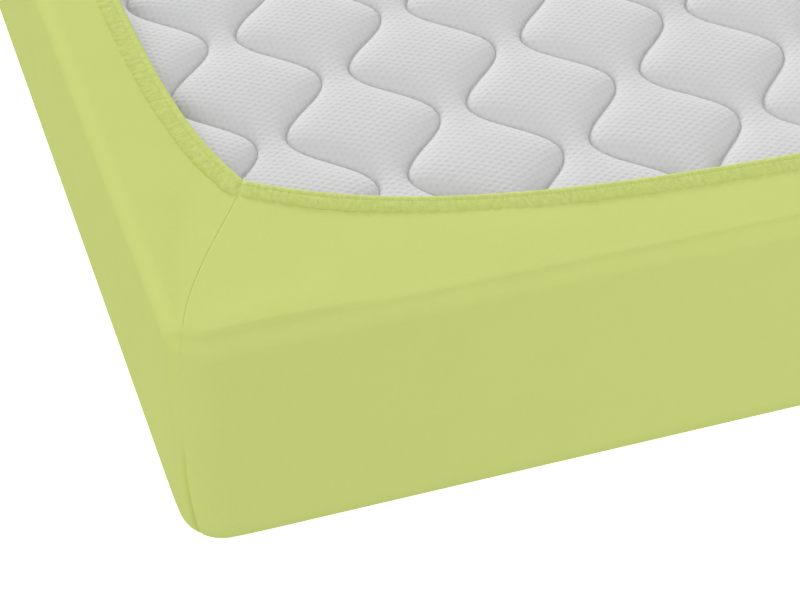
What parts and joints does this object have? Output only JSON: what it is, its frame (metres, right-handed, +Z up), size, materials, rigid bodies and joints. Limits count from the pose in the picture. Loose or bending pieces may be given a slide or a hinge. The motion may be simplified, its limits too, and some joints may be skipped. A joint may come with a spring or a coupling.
{
  "type": "fitted sheet on mattress",
  "caption": "Knitted fitted sheet with mitred corners and an elastic hem, stretched over a quilted mattress that lies face down, so its opening is on top.",
  "frame": {"origin": "on the surface the set lies on, under the middle of the mattress", "axes": "+X across the mattress, +Y along its length, +Z up through the sheet's opening"},
  "size_m": [0.908, 2.008, 0.1763],
  "materials": {
    "lime_jersey": "matt fine cotton jersey, lime green",
    "mattress_cover": "matt white double knit with small raised dots, quilted in ogee cells"
  },
  "bodies": {
    "root": {"fitted_sheet": "lime_jersey", "mattress": "mattress_cover"}
  },
  "joints": []
}
